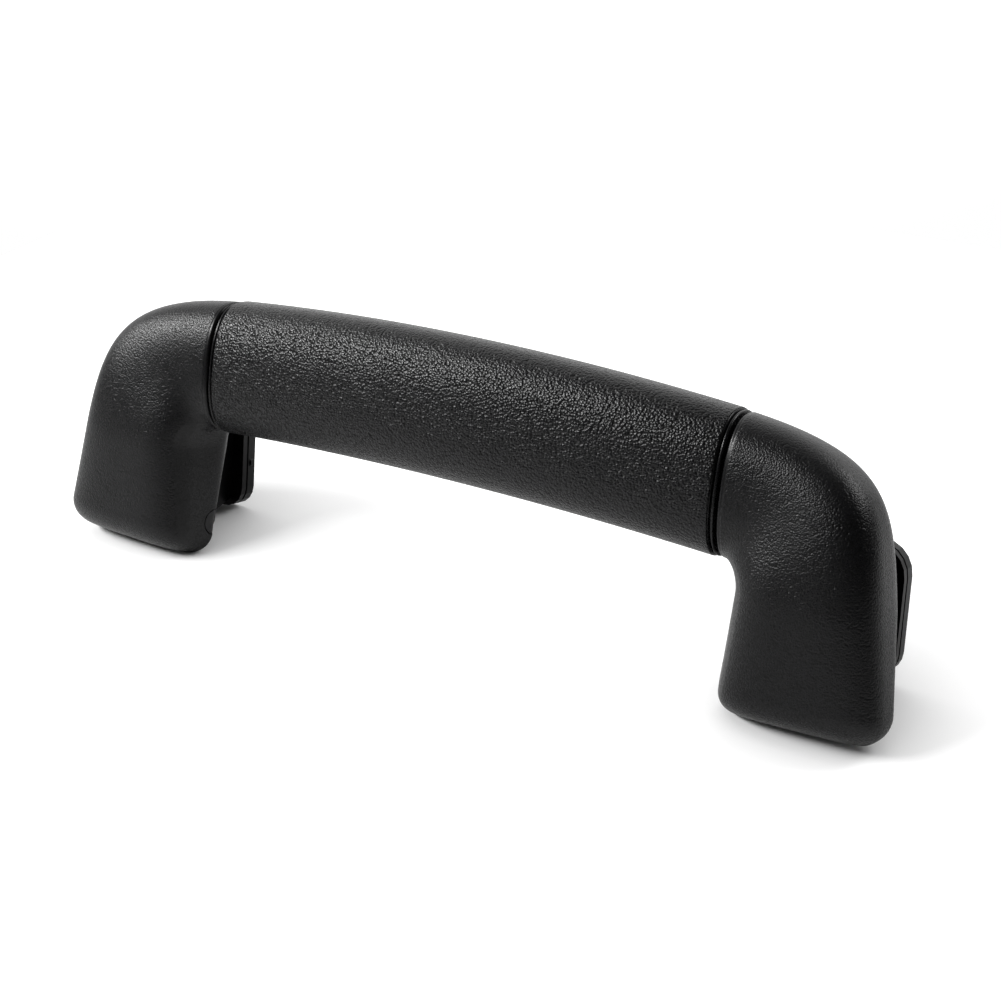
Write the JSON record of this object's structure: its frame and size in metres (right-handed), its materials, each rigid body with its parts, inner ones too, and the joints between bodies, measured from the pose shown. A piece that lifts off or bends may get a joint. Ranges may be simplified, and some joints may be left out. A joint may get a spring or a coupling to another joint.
{
  "type": "roof grab handle",
  "caption": "Folding roof grab handle with a soft arched grip, two moulded end housings and spring-return hinges on two mounting brackets.",
  "frame": {"origin": "middle of the part's footprint, level with the undersides of the feet", "axes": "+X along the grip, +Y towards the panel the brackets fix to, +Z from the feet to the grip"},
  "size_m": [0.2032, 0.0338, 0.0631],
  "materials": {
    "soft_grip": "soft-touch, coarse leather grain",
    "grained_plastic": "fine moulded grain",
    "bracket_plastic": "smooth moulded, satin",
    "core_plastic": "glass-filled, matt",
    "pale_plastic": "smooth",
    "buffer_rubber": "matt",
    "steel": "zinc plated",
    "spring_steel": "oiled wire"
  },
  "bodies": {
    "brackets": {"left_bracket": "bracket_plastic", "right_bracket": "bracket_plastic", "left_fixing_bush": "steel", "right_fixing_bush": "steel", "left_screw_cover": "bracket_plastic", "right_screw_cover": "bracket_plastic", "left_stop_buffer": "buffer_rubber", "right_stop_buffer": "buffer_rubber", "left_inner_hinge_bush": "pale_plastic", "left_outer_hinge_bush": "pale_plastic", "right_inner_hinge_bush": "pale_plastic", "right_outer_hinge_bush": "pale_plastic", "return_spring": "spring_steel", "damper_barrel": "core_plastic", "damper_cap": "core_plastic", "damper_seal": "buffer_rubber"},
    "grip": {"core_bar": "core_plastic", "grip_sleeve": "soft_grip", "left_end_housing": "grained_plastic", "right_end_housing": "grained_plastic", "left_hinge_pin": "steel", "right_hinge_pin": "steel", "left_inner_housing_screw": "steel", "left_outer_housing_screw": "steel", "right_inner_housing_screw": "steel", "right_outer_housing_screw": "steel", "damper_rotor": "pale_plastic"}
  },
  "joints": [
    {"name": "grip_fold", "type": "hinge", "parent": "brackets", "child": "grip", "pos_m": [0, -0.00385, 0.0076], "axis": [1, 0, 0], "range_deg": [0, 80], "stiffness_Nm_per_rad": 0.08, "springref_deg": -59.99, "deforming": ["return_spring"]}
  ]
}
